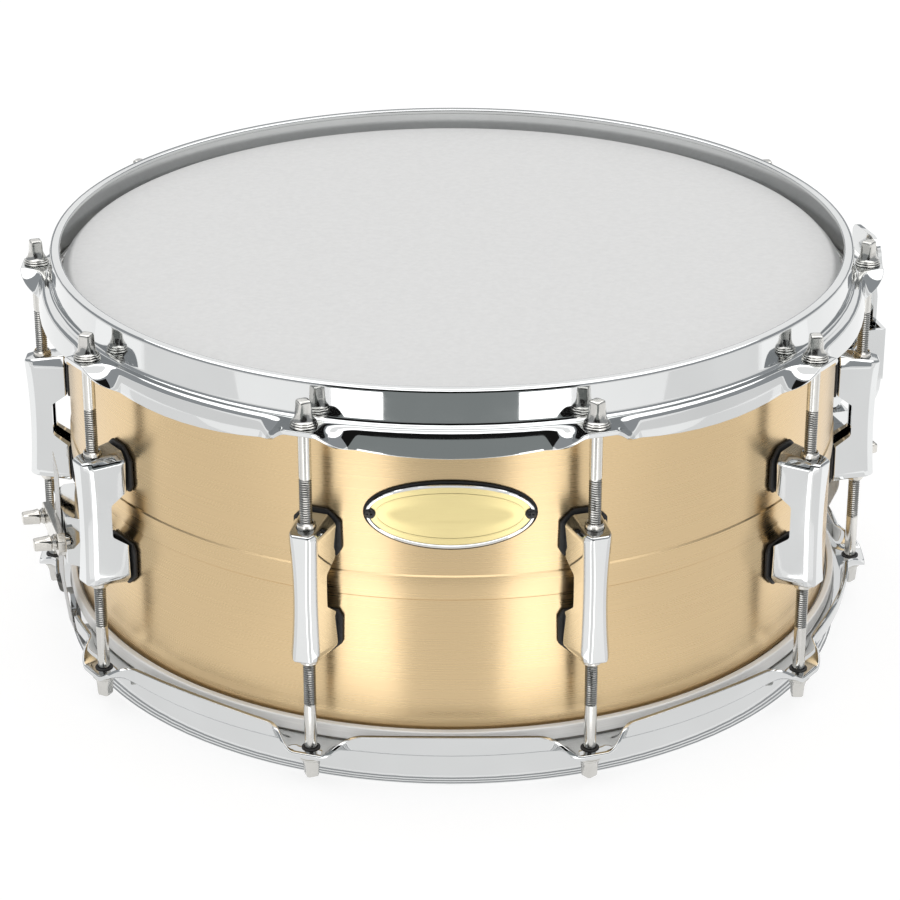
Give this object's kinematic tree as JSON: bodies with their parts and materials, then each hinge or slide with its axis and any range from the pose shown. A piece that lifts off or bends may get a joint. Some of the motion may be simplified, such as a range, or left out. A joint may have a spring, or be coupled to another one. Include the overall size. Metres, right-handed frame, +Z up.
{
  "type": "snare drum",
  "caption": "Snare drum with a brushed brass shell, chrome flanged hoops, bridge lugs, tension rods, a throw-off strainer, a butt and snare wires.",
  "frame": {"origin": "on the drum's axis, in the plane of the snare side rim on which it stands", "axes": "+Z up along the drum's axis, -Y towards the badge, +X to the right when facing the badge"},
  "size_m": [0.4087, 0.382, 0.1835],
  "materials": {
    "brushed_brass": "fine lines brushed round the shell, clear lacquer",
    "chrome": "polished mirror chrome",
    "steel": "bright nickel plated steel",
    "aluminium": "satin, bare",
    "coated_film": "matte white coating",
    "clear_film": "thin hazy film",
    "black_rubber": "matte black",
    "gold_plate": "satin gold field with a bright edge",
    "black_steel": "black finished steel",
    "white_plastic": "smooth white plastic strip"
  },
  "bodies": {
    "drum": {"shell": "brushed_brass", "badge_gasket": "black_rubber", "badge_plate": "gold_plate", "badge_screw_left": "black_steel", "badge_screw_right": "black_steel", "batter_head": "coated_film", "snare_head": "clear_film", "batter_flesh_hoop": "aluminium", "snare_flesh_hoop": "aluminium", "batter_hoop": "chrome", "snare_hoop": "chrome", "lug_01": "chrome", "lug_02": "chrome", "lug_03": "chrome", "lug_04": "chrome", "lug_05": "chrome", "lug_06": "chrome", "lug_07": "chrome", "lug_08": "chrome", "lug_09": "chrome", "lug_10": "chrome", "butt_body": "chrome", "butt_clamp_plate": "steel", "butt_clamp_screw_left": "steel", "butt_clamp_screw_right": "steel", "butt_strap": "white_plastic", "snare_wires": "steel", "strainer_base": "chrome", "strainer_pin": "steel"},
    "lever": {"strainer_lever": "chrome"},
    "slider": {"strainer_slider": "steel", "strainer_strap": "white_plastic"},
    "knob": {"strainer_knob": "chrome"},
    "carrier": {"strainer_carrier": "chrome", "strainer_clamp_plate": "steel", "strainer_clamp_screw_left": "steel", "strainer_clamp_screw_right": "steel"},
    "batter_rod_01": {"batter_rod_01": "steel"},
    "batter_rod_02": {"batter_rod_02": "steel"},
    "batter_rod_03": {"batter_rod_03": "steel"},
    "batter_rod_04": {"batter_rod_04": "steel"},
    "batter_rod_05": {"batter_rod_05": "steel"},
    "batter_rod_06": {"batter_rod_06": "steel"},
    "batter_rod_07": {"batter_rod_07": "steel"},
    "batter_rod_08": {"batter_rod_08": "steel"},
    "batter_rod_09": {"batter_rod_09": "steel"},
    "batter_rod_10": {"batter_rod_10": "steel"},
    "snare_rod_01": {"snare_rod_01": "steel"},
    "snare_rod_02": {"snare_rod_02": "steel"},
    "snare_rod_03": {"snare_rod_03": "steel"},
    "snare_rod_04": {"snare_rod_04": "steel"},
    "snare_rod_05": {"snare_rod_05": "steel"},
    "snare_rod_06": {"snare_rod_06": "steel"},
    "snare_rod_07": {"snare_rod_07": "steel"},
    "snare_rod_08": {"snare_rod_08": "steel"},
    "snare_rod_09": {"snare_rod_09": "steel"},
    "snare_rod_10": {"snare_rod_10": "steel"}
  },
  "joints": [
    {"name": "lever_throw", "type": "hinge", "parent": "drum", "child": "lever", "pos_m": [0.18403, 0.0598, 0.08775], "axis": [-0.309, 0.9511, 0], "range_deg": [0, 95]},
    {"name": "slider_drop", "type": "slide", "parent": "drum", "child": "slider", "axis": [0, 0, 1], "range_m": [-0.007, 0], "deforming": ["strainer_strap"]},
    {"name": "knob_turn", "type": "hinge", "parent": "slider", "child": "knob", "pos_m": [0.18879, 0.06134, 0.10305], "axis": [0, 0, 1], "range_deg": [-1080, 1080]},
    {"name": "carrier_travel", "type": "slide", "parent": "slider", "child": "carrier", "axis": [0, 0, 1], "range_m": [-0.0024, 0.0024]},
    {"name": "batter_rod_01_turn", "type": "hinge", "parent": "drum", "child": "batter_rod_01", "pos_m": [0.05902, -0.18165, 0.1675], "axis": [0, 0, 1], "range_deg": [-540, 540]},
    {"name": "batter_rod_02_turn", "type": "hinge", "parent": "drum", "child": "batter_rod_02", "pos_m": [0.15452, -0.11227, 0.1675], "axis": [0, 0, 1], "range_deg": [-540, 540]},
    {"name": "batter_rod_03_turn", "type": "hinge", "parent": "drum", "child": "batter_rod_03", "pos_m": [0.191, 0, 0.1675], "axis": [0, 0, 1], "range_deg": [-540, 540]},
    {"name": "batter_rod_04_turn", "type": "hinge", "parent": "drum", "child": "batter_rod_04", "pos_m": [0.15452, 0.11227, 0.1675], "axis": [0, 0, 1], "range_deg": [-540, 540]},
    {"name": "batter_rod_05_turn", "type": "hinge", "parent": "drum", "child": "batter_rod_05", "pos_m": [0.05902, 0.18165, 0.1675], "axis": [0, 0, 1], "range_deg": [-540, 540]},
    {"name": "batter_rod_06_turn", "type": "hinge", "parent": "drum", "child": "batter_rod_06", "pos_m": [-0.05902, 0.18165, 0.1675], "axis": [0, 0, 1], "range_deg": [-540, 540]},
    {"name": "batter_rod_07_turn", "type": "hinge", "parent": "drum", "child": "batter_rod_07", "pos_m": [-0.15452, 0.11227, 0.1675], "axis": [0, 0, 1], "range_deg": [-540, 540]},
    {"name": "batter_rod_08_turn", "type": "hinge", "parent": "drum", "child": "batter_rod_08", "pos_m": [-0.191, 0, 0.1675], "axis": [0, 0, 1], "range_deg": [-540, 540]},
    {"name": "batter_rod_09_turn", "type": "hinge", "parent": "drum", "child": "batter_rod_09", "pos_m": [-0.15452, -0.11227, 0.1675], "axis": [0, 0, 1], "range_deg": [-540, 540]},
    {"name": "batter_rod_10_turn", "type": "hinge", "parent": "drum", "child": "batter_rod_10", "pos_m": [-0.05902, -0.18165, 0.1675], "axis": [0, 0, 1], "range_deg": [-540, 540]},
    {"name": "snare_rod_01_turn", "type": "hinge", "parent": "drum", "child": "snare_rod_01", "pos_m": [0.05902, -0.18165, 0.016], "axis": [0, 0, -1], "range_deg": [-540, 540]},
    {"name": "snare_rod_02_turn", "type": "hinge", "parent": "drum", "child": "snare_rod_02", "pos_m": [0.15452, -0.11227, 0.016], "axis": [0, 0, -1], "range_deg": [-540, 540]},
    {"name": "snare_rod_03_turn", "type": "hinge", "parent": "drum", "child": "snare_rod_03", "pos_m": [0.191, 0, 0.016], "axis": [0, 0, -1], "range_deg": [-540, 540]},
    {"name": "snare_rod_04_turn", "type": "hinge", "parent": "drum", "child": "snare_rod_04", "pos_m": [0.15452, 0.11227, 0.016], "axis": [0, 0, -1], "range_deg": [-540, 540]},
    {"name": "snare_rod_05_turn", "type": "hinge", "parent": "drum", "child": "snare_rod_05", "pos_m": [0.05902, 0.18165, 0.016], "axis": [0, 0, -1], "range_deg": [-540, 540]},
    {"name": "snare_rod_06_turn", "type": "hinge", "parent": "drum", "child": "snare_rod_06", "pos_m": [-0.05902, 0.18165, 0.016], "axis": [0, 0, -1], "range_deg": [-540, 540]},
    {"name": "snare_rod_07_turn", "type": "hinge", "parent": "drum", "child": "snare_rod_07", "pos_m": [-0.15452, 0.11227, 0.016], "axis": [0, 0, -1], "range_deg": [-540, 540]},
    {"name": "snare_rod_08_turn", "type": "hinge", "parent": "drum", "child": "snare_rod_08", "pos_m": [-0.191, 0, 0.016], "axis": [0, 0, -1], "range_deg": [-540, 540]},
    {"name": "snare_rod_09_turn", "type": "hinge", "parent": "drum", "child": "snare_rod_09", "pos_m": [-0.15452, -0.11227, 0.016], "axis": [0, 0, -1], "range_deg": [-540, 540]},
    {"name": "snare_rod_10_turn", "type": "hinge", "parent": "drum", "child": "snare_rod_10", "pos_m": [-0.05902, -0.18165, 0.016], "axis": [0, 0, -1], "range_deg": [-540, 540]}
  ],
  "couplings": [
    {"joint": "lever_throw", "follows": "slider_drop", "rad_per_m": -236.8},
    {"joint": "knob_turn", "follows": "carrier_travel", "rad_per_m": -7850}
  ]
}
